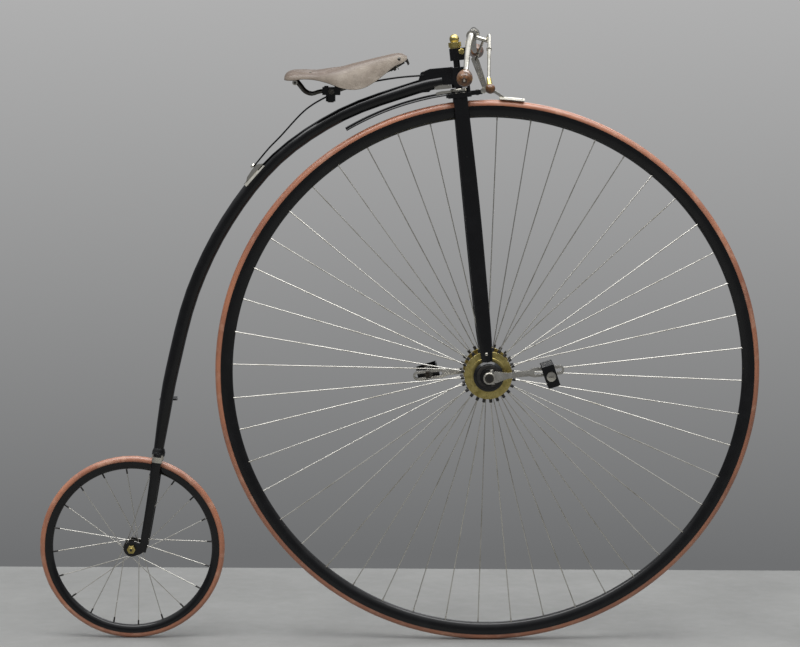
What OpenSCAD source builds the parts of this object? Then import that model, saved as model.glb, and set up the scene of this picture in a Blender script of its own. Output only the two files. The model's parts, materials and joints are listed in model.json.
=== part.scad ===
// High-wheel bicycle: a large driven front wheel that steers, a curved backbone and a small trailing wheel.
// +X points forward, +Y to the rider's left and +Z up. The origin is the rider's seat on the saddle's top.

/* [Front wheel] */
// Radius of the front wheel over its tyre
front_r = 684; // [670:1:690]
// Diameter of the front tyre's section
front_tyre_d = 25; // [20:1:28]
// Radial depth of the front rim
front_rim_depth = 30; // [26:1:32]
// Number of front spokes, shared between the two flanges
front_spoke_count = 48; // [40:2:60]
// Angle of the first near-side front spoke, up from straight ahead
front_spoke_start = 6; // [0:0.5:15]
// Radius of the front hub's flanges
front_flange_r = 60; // [50:1:66]
// Distance of each front flange's middle from the wheel's centre plane
front_flange_y = 46; // [42:1:48]

/* [Cranks and pedals] */
// Angle of the right crank above straight ahead
crank_angle = 7; // [0:1:30]
// Distance from the hub's centre to the pedal spindle
crank_throw = 148; // [120:1:155]
// Downward tilt of the right pedal's long side, to the front
right_pedal_tilt = 71; // [0:1:90]
// Upward tilt of the left pedal's long side, to the front
left_pedal_tilt = 18; // [0:1:90]
// Length of a pedal along its spindle
pedal_len = 96; // [80:1:100]

/* [Rear wheel] */
// Radius of the rear wheel over its tyre
rear_r = 233.5; // [225:0.5:240]
// Diameter of the rear tyre's section
rear_tyre_d = 20; // [18:1:22]
// Radial depth of the rear rim
rear_rim_depth = 19.5; // [16:0.5:21]
// Number of rear spokes, shared between the two flanges
rear_spoke_count = 20; // [16:4:24]
// Distance from the front wheel's axle back to the rear wheel's axle
wheelbase = 894; // [890:1:910]

/* [Steering] */
// Backward tilt of the steering axis
head_tilt = 6.3; // [5:0.1:8]
// Turn of the handlebar in its clamp, which brings the right grip back
bar_yaw = 5.2; // [0:0.1:8]
// Lean of the handlebar in its clamp, which drops the right grip
bar_roll = 4.6; // [0:0.1:6]
// Distance of each grip's middle from the bicycle's centre plane
grip_y = 300; // [270:1:310]

/* [Saddle] */
// Distance from the front axle back to the rider's seat
seat_back = 400; // [390:1:410]
// Height of the rider's seat above the ground
seat_up = 1445; // [1440:1:1450]
// Thickness of the saddle leather
leather_t = 4.5; // [4:0.5:6]
// Thickness of the saddle's leaf spring
leaf_t = 4; // [3:0.5:6]

/* [Hidden] */
$fn = 96;

// Running clearance on a shaft's radius, and the distance by which one piece is let into another
run = 0.05;
let_in = 2;

// Colours
black_enamel = [0.05, 0.05, 0.06];
nickel = [0.78, 0.77, 0.74];
brass = [0.71, 0.58, 0.22];
red_rubber = [0.72, 0.36, 0.24];
dark_steel = [0.30, 0.30, 0.31];
hide = [0.38, 0.29, 0.25];
horn = [0.36, 0.22, 0.14];

// Wheels
front_tyre_r = front_r - front_tyre_d / 2;
front_rim_r = front_r - 14;
front_rim_in = front_rim_r - front_rim_depth;
front_rim_w = 28;
rear_tyre_r = rear_r - rear_tyre_d / 2;
rear_rim_r = rear_r - 13.5;
rear_rim_in = rear_rim_r - rear_rim_depth;
rear_rim_w = 22;
front_axle_r = 11;
front_axle_end = 108;
front_flange_t = 8;
root_len = 11;
root_r = 4;
front_wire_r = 1.4;
rear_wire_r = 1.1;
rear_axle_r = 5;
rear_axle_end = 42;
rear_flange_r = 22;
rear_flange_y = 12.5;
rear_spoke_lean = 18;

// Fork, measured along the steering axis from the front hub
crown_low = front_r + 10;
crown_top = crown_low + 22;
neck_low = crown_top + 2;
neck_top = neck_low + 50;
block_low = neck_top + 17;
block_top = block_low + 30;
spindle_r = 8;
boss_r = 18;
blade_top_y = 36;
blade_low_y = 64;
case_r = 38;
case_in = 55;
case_out = 74;

// Cranks and pedals
crank_in = 84;
crank_out = 96;
crank_tip = crank_throw + 27.5;
pedal_gap = 5;
pin_r = 6;
cage_t = 30;
barrel_end_r = 12;
slot_from = crank_throw - 31;
slot_to = crank_throw + 29;

// Inner radius of the brake spoon's curve, about the middle of the tyre's section
spoon_r = front_tyre_d / 2 + 5.5;

// Handlebar: clamp centre in the steering frame, and the bar's line from the clamp outwards.
// Each row is distance out, forward, up and radius.
bar_x = 49;
bar_s = 844.5;
bar_line = [
    [0, 0, 0, 10], [30, 0, 2.5, 9.7], [60, -2, 4, 9], [95, -5, -1, 8.2], [140, -9, -20, 7.4],
    [185, -12, -42, 6.8], [225, -14, -59, 6.2], [262, -14, -68, 5.8], [grip_y + 38, -14, -74, 5.5]
];

// Backbone centre line: distance from the front axle, height above the ground, and radius
backbone_line = [
    [-120, 1412, 16], [-190, 1395, 16.5], [-370, 1328, 16.5], [-530, 1218, 16.5], [-653, 1063, 16.5],
    [-740, 884, 17], [-792, 686, 17], [-812, 576, 15.5], [-827, 483, 12.5]
];

// Saddle spring's centre line above the ground
spring_line = [
    [-166, 1427], [-231, 1421], [-300, 1409], [-360, 1394], [-400, 1376], [-440, 1354], [-472, 1328],
    [-520, 1275], [-550, 1244], [-588, 1198]
];

// Saddle stations from the cantle to the nose: place, half width, top height and skirt edge height
leather_line = [
    [-511, 46, 1424, 1414], [-505, 64, 1432, 1413], [-490, 74, 1438.5, 1413], [-462, 78, 1440, 1416.5],
    [-430, 70, 1439.5, 1414], [-400, 54, 1444, 1406], [-370, 40, 1448, 1394.5], [-340, 32, 1456, 1390.5],
    [-312, 28, 1463, 1396], [-285, 25, 1470, 1412], [-262, 23, 1475.5, 1430], [-240, 20, 1480.5, 1448],
    [-222, 15, 1481, 1456], [-208, 8, 1474, 1465]
];

// ---------- Frames of reference ----------
module from_seat() translate([seat_back, 0, -seat_up]) children();
module front_centre() from_seat() translate([0, 0, front_r]) children();
module rear_centre() from_seat() translate([-wheelbase, 0, rear_r]) children();
module steering() front_centre() rotate([0, -head_tilt, 0]) children();

// Turns work drawn about Z so that it stands about the wheel's axle; its +Z becomes the bicycle's right
module on_axle() rotate([90, 0, 0]) children();
module side_plate(half) rotate([90, 0, 0]) translate([0, 0, -half]) linear_extrude(2 * half) children();

// ---------- Curves and skins ----------
function unit(v) = v / norm(v);
function blend(a, b, c, d, t) = 0.5 * (2 * b + (c - a) * t + (2 * a - 5 * b + 4 * c - d) * t * t
    + (3 * b - a - 3 * c + d) * t * t * t);
function ended(p) = concat([2 * p[0] - p[1]], p, [2 * p[len(p) - 1] - p[len(p) - 2]]);
function smooth(p, steps) = let (e = ended(p)) concat(
    [for (k = [0 : len(p) - 2]) for (i = [0 : steps - 1]) blend(e[k], e[k + 1], e[k + 2], e[k + 3], i / steps)],
    [p[len(p) - 1]]);
function place(p) = [p[0], p[1], p[2]];
function heading(c, i) = unit(place(c[min(i + 1, len(c) - 1)]) - place(c[max(i - 1, 0)]));
// One oval ring square to the line: radius c[3] along the reference direction and c[4] across it
function ring(c, i, ref, n) = let (t = heading(c, i), v = unit(cross(t, ref)), u = cross(v, t))
    [for (k = [0 : n - 1]) place(c[i]) + c[i][3] * cos(360 * k / n) * u + c[i][4] * sin(360 * k / n) * v];

module skin(rings) {
    n = len(rings[0]);
    m = len(rings);
    polyhedron(
        points = [for (r = rings) each r],
        faces = concat(
            [[for (i = [0 : n - 1]) i], [for (i = [n - 1 : -1 : 0]) (m - 1) * n + i]],
            [for (k = [0 : m - 2]) for (i = [0 : n - 1]) [k * n + i, (k + 1) * n + i, (k + 1) * n + (i + 1) % n]],
            [for (k = [0 : m - 2]) for (i = [0 : n - 1]) [k * n + i, (k + 1) * n + (i + 1) % n, k * n + (i + 1) % n]]
        )
    );
}

module oval_tube(line, ref, n = 24) skin([for (i = [0 : len(line) - 1]) ring(line, i, ref, n)]);
module rod_between(a, b, r) {
    d = b - a;
    translate(a) rotate([0, acos(d[2] / norm(d)), atan2(d[1], d[0])]) cylinder(r = r, h = norm(d));
}
// Round tube on a smooth line through points of place and radius
module round_tube(points, ref, steps, n)
    oval_tube([for (p = smooth(points, steps)) [p[0], p[1], p[2], p[3], p[3]]], ref, n);

// ---------- Wheels ----------
module tyre_ring(centre_r, d) on_axle() rotate_extrude($fn = 180) translate([centre_r, 0]) circle(d = d, $fn = 48);

// Rim: a half-oval channel whose mouth is hollowed to seat the tyre
module rim_ring(outer_r, depth, width, tyre_r, tyre_d) {
    on_axle() rotate_extrude($fn = 180) difference() {
        polygon([for (a = [0 : 12 : 180]) [outer_r - depth * pow(sin(a), 0.8), width / 2 * cos(a)]]);
        translate([tyre_r, 0]) circle(d = tyre_d, $fn = 48);
    }
}

// A spoke lies in the plane through the axle at the given angle, from the flange out to the rim
module spoke(angle, in_r, in_y, out_r, out_y, lean, r, root) {
    a = [lean * -sin(angle), in_y, lean * cos(angle)] + in_r * [cos(angle), 0, sin(angle)];
    b = out_r * [cos(angle), out_y / out_r, sin(angle)];
    rod_between(a, b, r);
    if (root > 0) rod_between(a, a + (b - a) * root / norm(b - a), root_r);
}

module front_tyre() color(red_rubber) front_centre() tyre_ring(front_tyre_r, front_tyre_d);
module front_rim() color(black_enamel) front_centre()
    rim_ring(front_rim_r, front_rim_depth, front_rim_w, front_tyre_r, front_tyre_d);
module front_spokes() color(nickel) front_centre() for (k = [0 : front_spoke_count - 1]) {
    side = k % 2 == 0 ? -1 : 1;
    spoke(front_spoke_start + k * 360 / front_spoke_count, front_flange_r - let_in, side * front_flange_y,
        front_rim_in + let_in, side * 5, 0, front_wire_r, root_len, $fn = 24);
}
module front_hub() color(brass) front_centre() on_axle() difference() {
    union() {
        for (s = [-1, 1]) translate([0, 0, s * front_flange_y - front_flange_t / 2])
            cylinder(r = front_flange_r, h = front_flange_t);
        translate([0, 0, -front_flange_y]) cylinder(r = 24, h = 2 * front_flange_y);
    }
    translate([0, 0, -60]) cylinder(r = front_axle_r, h = 120);
}
module front_axle() color(dark_steel) front_centre() on_axle()
    translate([0, 0, -front_axle_end]) cylinder(r = front_axle_r, h = 2 * front_axle_end);

// ---------- Cranks ----------
// Drawn pointing along +X, with the outside face towards +Z
module crank_arm() {
    difference() {
        union() {
            translate([0, 0, crank_in - 2]) cylinder(r = 15, h = front_axle_end - crank_in + 1);
            translate([0, 0, crank_in]) linear_extrude(crank_out - crank_in) polygon([
                [0, -15], [18, -14], [48, -7], [crank_throw - 50, -7], [crank_throw - 36, -11.5],
                [crank_tip, -11.5], [crank_tip, 11.5], [crank_throw - 36, 11.5], [crank_throw - 50, 7],
                [48, 7], [18, 14], [0, 15]
            ]);
            translate([crank_tip, 0, crank_in]) cylinder(r = 11.5, h = crank_out - crank_in);
            translate([8, -16, crank_out + 4]) rotate([-90, 0, 0]) cylinder(r = 4.5, h = 34);
        }
        translate([0, 0, crank_in - 10]) cylinder(r = front_axle_r, h = 60);
        translate([slot_from, -5, crank_in - 1]) cube([slot_to - slot_from, 10, 20]);
        for (x = [slot_from, slot_to]) translate([x, 0, crank_in - 1]) cylinder(r = 5, h = 20);
        translate([crank_throw, 0, crank_in - 1]) cylinder(r = pin_r, h = 20);
    }
}
module crank_right() color(nickel) front_centre() on_axle() rotate([0, 0, crank_angle]) crank_arm();
module crank_left() color(nickel) front_centre() rotate([0, -crank_angle, 0]) rotate([0, 0, 180])
    rotate([90, 0, 0]) crank_arm();

module pedal_pin() translate([crank_throw, 0, 0]) {
    translate([0, 0, crank_in - 8]) cylinder(r = 10, h = 8, $fn = 6);
    translate([0, 0, crank_in - 8]) cylinder(r = pin_r, h = crank_out - crank_in + pedal_gap + pedal_len - 2);
    translate([0, 0, crank_out]) cylinder(r = 9, h = 3);
}
module pedal_pin_right() color(dark_steel) front_centre() on_axle() rotate([0, 0, crank_angle]) pedal_pin();
module pedal_pin_left() color(dark_steel) front_centre() rotate([0, -crank_angle, 0]) rotate([0, 0, 180])
    rotate([90, 0, 0]) pedal_pin();

// ---------- Pedals ----------
// Drawn about their spindle, from z = 0 at the inside end
module barrel() difference() {
    union() {
        cylinder(r = barrel_end_r, h = 10);
        cylinder(r = 10, h = pedal_len);
        translate([0, 0, pedal_len - 12]) cylinder(r = barrel_end_r, h = 12);
    }
    translate([0, 0, -1]) cylinder(r = pin_r + run, h = pedal_len - 3);
}
module cage() {
    for (z = [2, pedal_len - 9]) translate([0, 0, z]) difference() {
        linear_extrude(4) square([52, cage_t], center = true);
        translate([0, 0, -1]) cylinder(r = barrel_end_r, h = 8);
    }
    for (s = [-1, 1]) translate([s * 26 - 1.5, 0, 2]) difference() {
        translate([0, -cage_t / 2, 0]) cube([3, cage_t, pedal_len - 7]);
        for (k = [0 : 11]) for (e = [-1, 1])
            translate([-1, e * cage_t / 2, 2.2 + k * 7]) rotate([45, 0, 0]) cube([5, 4, 4]);
    }
}
module at_pedal(side) {
    turn = side < 0 ? 0 : 180;
    front_centre() rotate([0, -crank_angle + turn, 0])
        translate([crank_throw, side * (crank_out + pedal_gap), 0]) children();
}
module pedal_right_place() at_pedal(-1) rotate([0, crank_angle + right_pedal_tilt, 0]) on_axle() children();
module pedal_left_place() at_pedal(1) rotate([0, crank_angle - 180 - left_pedal_tilt, 0])
    rotate([-90, 0, 0]) children();
module pedal_right_cage() color(black_enamel) pedal_right_place() cage();
module pedal_left_cage() color(black_enamel) pedal_left_place() cage();
module pedal_right_barrel() color(dark_steel) pedal_right_place() barrel();
module pedal_left_barrel() color(dark_steel) pedal_left_place() barrel();

// ---------- Rear wheel ----------
module rear_tyre() color(red_rubber) rear_centre() tyre_ring(rear_tyre_r, rear_tyre_d);
module rear_rim() color(black_enamel) rear_centre()
    rim_ring(rear_rim_r, rear_rim_depth, rear_rim_w, rear_tyre_r, rear_tyre_d);
module rear_spokes() color(nickel) rear_centre() for (k = [0 : rear_spoke_count - 1]) {
    side = k % 2 == 0 ? 1 : -1;
    lean = (k % 4 == 0 || k % 4 == 3) ? 1 : -1;
    spoke(4 + k * 360 / rear_spoke_count, 2, side * (rear_flange_y + 2 * lean), rear_rim_in + let_in,
        side * 3, lean * rear_spoke_lean, rear_wire_r, 0, $fn = 24);
}
module rear_hub() color(dark_steel) rear_centre() on_axle() difference() {
    union() {
        translate([0, 0, -19]) cylinder(r = 11, h = 38);
        for (s = [-1, 1]) translate([0, 0, s * rear_flange_y - 2]) cylinder(r = rear_flange_r, h = 4);
    }
    translate([0, 0, -30]) cylinder(r = rear_axle_r + run, h = 60);
}

// ---------- Frame ----------
module backbone() color(black_enamel) from_seat()
    round_tube([for (p = backbone_line) [p[0], 0, p[1], p[2]]], [0, 1, 0], 4, 28);

// Neck: the spindle and its boss in the fork's head, with the arm that runs back over the backbone's end
module neck_outline() polygon([
    [-186, 1393], [-176, 1384], [-153, 1386], [-145, 1395], [-134, 1401], [-120, 1404], [-84, 1405],
    [-90, 1449], [-152, 1443], [-174, 1434]
]);
module head_neck() color(black_enamel) {
    difference() {
        from_seat() side_plate(12) neck_outline();
        steering() translate([0, 0, neck_low - 30]) cylinder(r = boss_r - 2, h = 100);
    }
    steering() {
        translate([0, 0, neck_low]) cylinder(r = boss_r, h = neck_top - neck_low);
        translate([0, 0, crown_low + 15]) cylinder(r = spindle_r, h = block_low + 1 - crown_low);
    }
}

module rear_fork_crown() color(black_enamel) from_seat() {
    translate([-828, 0, 469]) rotate([0, 9.5, 0]) {
        translate([0, 0, 8]) cylinder(r1 = 17, r2 = 14.5, h = 8);
        translate([0, 0, 16]) cylinder(r1 = 14.5, r2 = 13, h = 3);
        cylinder(r = 16.5, h = 8);
        translate([-12, -24, 0]) cube([24, 48, 8]);
        for (s = [-1, 1]) translate([0, s * 24, 0]) cylinder(r = 12, h = 8);
    }
}
// Rear fork leg: above-ground line of the right leg from the crown to the axle
rear_leg_line = [
    [-828, -25, 474, 12, 7], [-832, -25, 445, 12.5, 7], [-838, -25, 395, 12, 6.5],
    [-850, -26, 320, 11, 5.5], [-860, -26, 262, 10.5, 5], [-867, -25, 226, 9, 4.5]
];
module rear_leg() {
    oval_tube(smooth(rear_leg_line, 3), [1, 0, 0], 24);
    translate([-wheelbase, -21.5, rear_r]) on_axle() difference() {
        union() {
            cylinder(r = 19, h = 7);
            linear_extrude(7) polygon([[0, -18], [14, -16], [24, -12], [34, -4], [36, 6], [20, 14], [0, 17]]);
        }
        translate([0, 0, -1]) cylinder(r = rear_axle_r, h = 12);
    }
}
module rear_fork_right() color(black_enamel) from_seat() rear_leg();
module rear_fork_left() color(black_enamel) from_seat() mirror([0, 1, 0]) rear_leg();
module rear_axle() color(brass) rear_centre() on_axle() {
    translate([0, 0, -rear_axle_end]) cylinder(r = rear_axle_r, h = 2 * rear_axle_end);
    for (s = [0, 1]) mirror([0, 0, s]) {
        translate([0, 0, 28.5]) cylinder(r = 11, h = 9, $fn = 6);
    }
}
// Step: a stem let into the backbone's left side, and a flat tread with a lip turned down at its outer edge
module mounting_step() color(black_enamel) from_seat() translate([-805, 0, 610]) {
    translate([0, 10, -6]) rotate([-90, 0, 0]) cylinder(r = 8, h = 12);
    translate([-21, 19, -4]) cube([42, 44, 4]);
    translate([-21, 60, -10]) cube([42, 3, 8]);
}

// ---------- Saddle ----------
function leaf_side(c, s) = [for (i = [0 : len(c) - 1])
    let (t = unit(c[min(i + 1, len(c) - 1)] - c[max(i - 1, 0)])) c[i] + s * leaf_t / 2 * [-t[1], t[0]]];
module saddle_spring() color(black_enamel) from_seat() {
    line = smooth(spring_line, 4);
    below = leaf_side(line, -1);
    above = leaf_side(line, 1);
    side_plate(14) polygon(concat(above, [for (i = [len(below) - 1 : -1 : 0]) below[i]]));
}
// Clip: a thin strap over the backbone with a tapered lug that carries the spring's end
module spring_clip() color(nickel) from_seat() translate([-576, 0, 1168.5]) rotate([0, -49, 0]) {
    difference() {
        translate([-34, 0, 0]) rotate([0, 90, 0]) cylinder(r = 18.5, h = 68);
        translate([-35, 0, 0]) rotate([0, 90, 0]) cylinder(r = 16, h = 70);
        translate([-50, -30, -30]) cube([100, 60, 39]);
    }
    side_plate(9) polygon([[-28, 16.3], [-15, 23.5], [6, 26.5], [20, 27.2], [28, 23], [34, 16.3]]);
}
module saddle_clamp() color(black_enamel) from_seat() {
    translate([-395, 0, 1387]) side_plate(32) square([44, 19], center = true);
    translate([-397, 0, 1361]) cylinder(r = 12, h = 20);
    for (x = [-408, -382], y = [-24, 24]) translate([x, y, 1394]) cylinder(r = 5, h = 5);
}
module one_rail() round_tube([
    [-487, 46, 1423, 4.7], [-481, 45, 1411, 4.7], [-472, 42, 1400, 4.7], [-460, 38, 1386, 4.7], [-443, 32, 1380, 4.7],
    [-421, 27, 1386, 4.7], [-372, 25, 1391, 4.7], [-300, 19, 1420, 4.7], [-246, 8, 1443, 4.7]
], [0, 1, 0], 3, 14);
module saddle_rails() color(dark_steel) from_seat() {
    one_rail();
    mirror([0, 1, 0]) one_rail();
}
module saddle_cantle() color(dark_steel) from_seat() round_tube([
    [-478, -62, 1422.5, 5], [-487, -53, 1425, 5], [-493, -30, 1428.5, 5], [-494, 0, 1429.5, 5],
    [-493, 30, 1428.5, 5], [-487, 53, 1425, 5], [-478, 62, 1422.5, 5]
], [1, 0, 0], 3, 14);
module saddle_nose_bolt() color(dark_steel) from_seat() {
    rod_between([-250, 0, 1440], [-216, 0, 1461], 5);
    rod_between([-220, -11, 1463], [-220, 11, 1463], 5);
}

function arch(st, cut, n) = [for (i = [0 : n]) let (a = 180 * i / n)
    [st[0], (st[1] - cut) * sign(cos(a)) * pow(abs(cos(a)), 0.75),
        st[3] + (st[2] - cut - st[3]) * pow(sin(a), 0.75)]];
function arch_loop(st, n) = let (inner = arch(st, leather_t, n))
    concat(arch(st, 0, n), [for (i = [n : -1 : 0]) inner[i]]);
module arch_shell(stations, n) {
    m = 2 * n + 2;
    last = len(stations) - 1;
    polyhedron(
        points = [for (s = stations) each arch_loop(s, n)],
        faces = concat(
            [for (i = [0 : n - 1]) [i, i + 1, m - 2 - i, m - 1 - i]],
            [for (i = [0 : n - 1]) let (o = last * m) [o + m - 1 - i, o + m - 2 - i, o + i + 1, o + i]],
            [for (k = [0 : last - 1]) for (i = [0 : m - 1]) [k * m + i, (k + 1) * m + i, (k + 1) * m + (i + 1) % m]],
            [for (k = [0 : last - 1]) for (i = [0 : m - 1]) [k * m + i, (k + 1) * m + (i + 1) % m, k * m + (i + 1) % m]]
        )
    );
}
module saddle_leather() color(hide) from_seat() arch_shell(smooth(leather_line, 2), 16);

// ---------- Fork ----------
module fork_head() color(black_enamel) steering() difference() {
    union() {
        hull() for (x = [-21, 19]) for (y = [-37, 37]) translate([x, y, crown_low]) cylinder(r = 9, h = 11, $fn = 32);
        translate([-34, -16, crown_low + 1]) cube([20, 32, 12]);
        translate([0, 0, crown_low + 10]) cylinder(r = 21, h = crown_top - crown_low - 10);
        translate([10, -12, crown_low + 2]) cube([46, 24, 11]);
        translate([20, -14, crown_low + 8]) cube([7, 28, block_top - crown_low - 8]);
        translate([-15, -15, block_low]) cube([42, 30, block_top - block_low]);
    }
    translate([0, 0, crown_low + 14.5]) cylinder(r = spindle_r + run, h = 20);
    translate([0, 0, block_low - 1]) cylinder(r = spindle_r + run, h = 18);
    translate([0, 0, neck_low - 2]) cylinder(r = boss_r + 2.5, h = neck_top - neck_low + 4);
}
// Fork blade line in the steering frame: forward, out, along the axis, half width and half thickness
blade_line = [
    [0, blade_low_y, 30, 13, 7], [0, blade_low_y - 2, 90, 17, 8], [0, blade_low_y - 8, 200, 19, 8.5],
    [1, blade_low_y - 18, 430, 20, 8.5], [0, blade_top_y + 2, 660, 18, 8], [0, blade_top_y, crown_low + 4, 17, 8]
];
module blade(side) steering()
    oval_tube([for (p = smooth(blade_line, 4)) [p[0], side * p[1], p[2], p[3], p[4]]], [1, 0, 0], 28);
module fork_blade_right() color(black_enamel) blade(-1);
module fork_blade_left() color(black_enamel) blade(1);
module bearing_case() on_axle() difference() {
    union() {
        translate([0, 0, case_in]) cylinder(r = case_r, h = case_out - case_in - 5);
        translate([0, 0, case_out - 5]) cylinder(r1 = case_r, r2 = case_r - 6, h = 5);
        translate([0, 0, case_out]) cylinder(r = 20, h = 4);
    }
    translate([0, 0, case_in - 5]) cylinder(r = front_axle_r + run, h = 50);
}
module bearing_case_right() color(black_enamel) front_centre() bearing_case();
module bearing_case_left() color(black_enamel) front_centre() mirror([0, 1, 0]) bearing_case();
// Mudguard: a thin crescent, held behind the fork's head
guard_r = front_r + 18;
module mudguard() color(black_enamel) front_centre() on_axle() rotate([0, 0, 98.2])
    rotate_extrude(angle = 22.3, $fn = 180) polygon(concat(
        [for (a = [-90 : 15 : 90]) [guard_r + 9 * cos(a), 17 * sin(a)]],
        [for (a = [90 : -15 : -90]) [guard_r - 0.5 + 7.5 * cos(a), 15 * sin(a)]]
    ));

// ---------- Handlebar ----------
module in_clamp() translate([bar_x, 0, bar_s]) rotate([bar_roll, 0, 0]) rotate([0, 0, -bar_yaw]) children();
module bar_clamp() in_clamp() on_axle() children();
module bar_place() steering() in_clamp() children();
module handlebar_lug() color(nickel) steering() {
    difference() {
        bar_clamp() translate([0, 0, -22]) cylinder(r = 14, h = 44);
        bar_clamp() translate([0, 0, -40]) cylinder(r = 9.5, h = 80);
    }
    side_plate(9) polygon([[25, 790], [34, 790], [46, 828], [40, 836], [25, 814]]);
}
module handlebar() color(nickel) bar_place() {
    half = smooth(bar_line, 3);
    full = concat([for (i = [len(half) - 1 : -1 : 1]) [half[i][1], -half[i][0], half[i][2], half[i][3], half[i][3]]],
        [for (p = half) [p[1], p[0], p[2], p[3], p[3]]]);
    oval_tube(full, [1, 0, 0], 24);
}
// Pear-shaped grip, drawn along its own line with the thick end outwards
module grip() rotate([90, 0, 0]) rotate_extrude() polygon([
    [0, -40], [9, -40], [12, -34], [14.5, -20], [17.5, -2], [19, 14], [18.5, 26], [14, 36], [6, 41], [0, 41]
]);
module grip_right() color(horn) bar_place() translate([-14, -grip_y, -71]) rotate([6, 0, 0]) grip();
module grip_left() color(horn) bar_place() translate([-14, grip_y, -71]) rotate([-6, 0, 0]) mirror([0, 1, 0]) grip();
module adjusting_nut() color(brass) steering() translate([0, 0, block_top]) {
    cylinder(r = 13, h = 3);
    translate([0, 0, 3]) cylinder(r = 16, h = 12);
    translate([0, 0, 15]) cylinder(r = 10, h = 6);
    translate([0, 0, 23]) difference() {
        sphere(r = 12);
        translate([0, 0, -26]) cube([40, 40, 40], center = true);
    }
}

// ---------- Brake ----------
module brake_bracket() color(nickel) {
    bar_place() translate([-2, -60, 3]) on_axle() difference() {
        translate([0, 0, -8]) cylinder(r = 13, h = 16);
        translate([0, 0, -9]) cylinder(r = 8.6, h = 18);
    }
    from_seat() rod_between([-40, -58, 1522], [-10, -58, 1513], 5);
}
module brake_lever() color(nickel) from_seat() {
    round_tube([
        [-14, -52, 1512, 4], [-9, -62, 1525, 4.5], [-9, -84, 1523, 4], [-12, -150, 1488, 4],
        [-14, -200, 1456, 4], [-16, -240, 1426, 4]
    ], [1, 0, 0], 3, 14);
    translate([-13, -262, 1402]) sphere(r = 11.5);
    rod_between([-16, -240, 1426], [-13.5, -258, 1406], 5.5);
}
module brake_link() color(dark_steel) from_seat() {
    rod_between([-22, -56, 1515], [-38, -2, 1466], 3);
    side_plate(3) polygon([[-50, 1468], [-46, 1474], [-36, 1474], [-30, 1466], [-9, 1402], [-19, 1392]]);
}
module brake_spoon() color(nickel) {
    front_centre() on_axle() rotate([0, 0, 83]) rotate_extrude(angle = 5.2, $fn = 180) polygon(concat(
        [for (a = [-45 : 15 : 45]) [front_tyre_r + (spoon_r + 3) * cos(a), (spoon_r + 3) * sin(a)]],
        [for (a = [45 : -15 : -45]) [front_tyre_r + spoon_r * cos(a), spoon_r * sin(a)]]
    ));
    from_seat() side_plate(5) polygon([[-24, 1387], [-14, 1397], [12, 1390], [34, 1376], [30, 1371], [9, 1384]]);
    from_seat() translate([-18.6, 0, 1391]) on_axle() translate([0, 0, -15]) cylinder(r = 5, h = 30);
}

backbone();
head_neck();
rear_fork_crown();
rear_fork_right();
rear_fork_left();
rear_axle();
mounting_step();
saddle_spring();
spring_clip();
saddle_clamp();
saddle_rails();
saddle_cantle();
saddle_nose_bolt();
saddle_leather();
fork_head();
fork_blade_right();
fork_blade_left();
bearing_case_right();
bearing_case_left();
mudguard();
handlebar_lug();
handlebar();
grip_right();
grip_left();
adjusting_nut();
brake_bracket();
brake_lever();
brake_link();
brake_spoon();
front_tyre();
front_rim();
front_spokes();
front_hub();
front_axle();
crank_right();
crank_left();
pedal_pin_right();
pedal_pin_left();
pedal_right_cage();
pedal_right_barrel();
pedal_left_cage();
pedal_left_barrel();
rear_tyre();
rear_rim();
rear_spokes();
rear_hub();
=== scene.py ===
"""High-wheel bicycle, finished for the studio: wheels and spokes from geometry nodes, edges rounded on every
metal piece, a shaped leather saddle and turned fittings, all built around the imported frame."""

import json
import math

import bmesh
import bpy
from mathutils import Matrix, Vector


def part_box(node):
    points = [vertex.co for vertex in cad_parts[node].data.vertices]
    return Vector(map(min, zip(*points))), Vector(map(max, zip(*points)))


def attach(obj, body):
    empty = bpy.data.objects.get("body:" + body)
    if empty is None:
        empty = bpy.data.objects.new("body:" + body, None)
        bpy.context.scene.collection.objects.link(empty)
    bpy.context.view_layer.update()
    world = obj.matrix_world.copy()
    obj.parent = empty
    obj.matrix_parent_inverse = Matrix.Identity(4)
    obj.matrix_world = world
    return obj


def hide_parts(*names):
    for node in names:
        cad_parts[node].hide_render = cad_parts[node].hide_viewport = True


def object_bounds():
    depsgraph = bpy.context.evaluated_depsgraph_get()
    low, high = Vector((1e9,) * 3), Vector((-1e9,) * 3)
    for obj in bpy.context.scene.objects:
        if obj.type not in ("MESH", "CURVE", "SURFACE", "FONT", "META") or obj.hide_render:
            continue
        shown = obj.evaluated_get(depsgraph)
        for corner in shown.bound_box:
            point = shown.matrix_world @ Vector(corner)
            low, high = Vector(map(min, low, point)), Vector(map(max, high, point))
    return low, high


bl_info = {
    "name": "High-wheel bicycle",
    "version": (1, 0, 0),
    "blender": (4, 5, 0),
    "location": "3D View > Sidebar > High wheel",
    "description": "Dresses the packed frame of a high-wheel bicycle with its finished pieces and materials",
    "category": "Mesh",
}

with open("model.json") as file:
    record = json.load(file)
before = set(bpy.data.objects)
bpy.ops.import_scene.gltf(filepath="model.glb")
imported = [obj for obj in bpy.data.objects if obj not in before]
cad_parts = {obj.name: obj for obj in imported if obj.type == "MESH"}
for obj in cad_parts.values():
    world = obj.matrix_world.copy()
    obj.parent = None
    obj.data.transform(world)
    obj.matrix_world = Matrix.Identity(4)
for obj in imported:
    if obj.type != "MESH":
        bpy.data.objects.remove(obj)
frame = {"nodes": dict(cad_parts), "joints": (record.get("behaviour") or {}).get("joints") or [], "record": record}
CAD_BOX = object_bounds()
JOINTS = {joint["name"]: joint for joint in frame["joints"]}
BODY_OF = {node: body for body, nodes in frame["record"]["behaviour"]["bodies"].items() for node in nodes}
FRONT_HUB = Vector(JOINTS["front_wheel_spin"]["pos_m"])
REAR_HUB = Vector(JOINTS["rear_wheel_spin"]["pos_m"])
HEAD_AXIS = Vector(JOINTS["steering"]["axis"]).normalized()
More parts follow.
